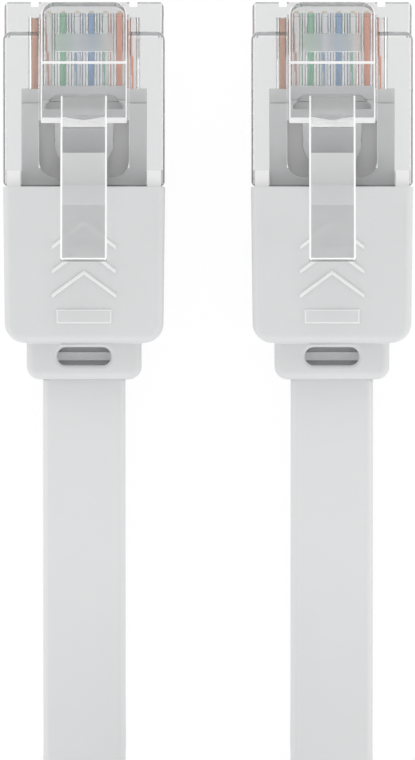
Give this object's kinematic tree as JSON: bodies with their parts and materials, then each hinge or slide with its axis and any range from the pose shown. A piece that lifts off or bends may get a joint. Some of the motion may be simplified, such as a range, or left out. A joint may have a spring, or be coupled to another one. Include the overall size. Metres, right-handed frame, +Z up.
{
  "type": "ethernet patch cable",
  "caption": "Flat white network patch cable, coiled, with a clear 8-way modular plug, spring latch and moulded strain-relief boot at each end.",
  "frame": {"origin": "on the table under the middle of the pair of plugs: midway between their centre lines, and midway between their noses and the ends of their necks", "axes": "+X across the two plugs, +Y towards the plugs' noses, +Z up from the table, out of the latch side"},
  "size_m": [0.0656, 0.1318, 0.0131],
  "materials": {
    "clear_plastic": "clear moulded polycarbonate",
    "gold_plating": "polished gold plating",
    "guide_plastic": "satin",
    "mould_plastic": "satin",
    "boot_plastic": "fine matte grain",
    "copper": "bare strands",
    "wire_white_orange": "smooth insulation",
    "wire_orange": "smooth insulation",
    "wire_white_green": "smooth insulation",
    "wire_blue": "smooth insulation",
    "wire_white_blue": "smooth insulation",
    "wire_green": "smooth insulation",
    "wire_white_brown": "smooth insulation",
    "wire_brown": "smooth insulation",
    "jacket": "smooth satin PVC",
    "tie_plastic": "satin"
  },
  "bodies": {
    "patch_cable": {"plug_housing_a": "clear_plastic", "contacts_a": "gold_plating", "wire_guide_a": "guide_plastic", "inner_mould_a": "mould_plastic", "boot_a": "boot_plastic", "conductors_a": "copper", "plug_housing_b": "clear_plastic", "contacts_b": "gold_plating", "wire_guide_b": "guide_plastic", "inner_mould_b": "mould_plastic", "boot_b": "boot_plastic", "conductors_b": "copper", "wire_a_white_orange": "wire_white_orange", "wire_a_orange": "wire_orange", "wire_a_white_green": "wire_white_green", "wire_a_blue": "wire_blue", "wire_a_white_blue": "wire_white_blue", "wire_a_green": "wire_green", "wire_a_white_brown": "wire_white_brown", "wire_a_brown": "wire_brown", "wire_b_white_orange": "wire_white_orange", "wire_b_orange": "wire_orange", "wire_b_white_green": "wire_white_green", "wire_b_blue": "wire_blue", "wire_b_white_blue": "wire_white_blue", "wire_b_green": "wire_green", "wire_b_white_brown": "wire_white_brown", "wire_b_brown": "wire_brown", "cable_lead_a": "jacket", "cable_lead_b": "jacket", "cable_coil": "jacket", "coil_tie": "tie_plastic"},
    "latch_a": {"latch_a": "clear_plastic"},
    "latch_b": {"latch_b": "clear_plastic"}
  },
  "joints": [
    {"name": "latch_a_hinge", "type": "hinge", "parent": "patch_cable", "child": "latch_a", "pos_m": [-0.00895, 0.0125, 0.00591], "axis": [1, 0, 0], "range_deg": [0, 8], "stiffness_Nm_per_rad": 0.35},
    {"name": "latch_b_hinge", "type": "hinge", "parent": "patch_cable", "child": "latch_b", "pos_m": [0.00895, 0.0125, 0.00591], "axis": [1, 0, 0], "range_deg": [0, 8], "stiffness_Nm_per_rad": 0.35}
  ]
}
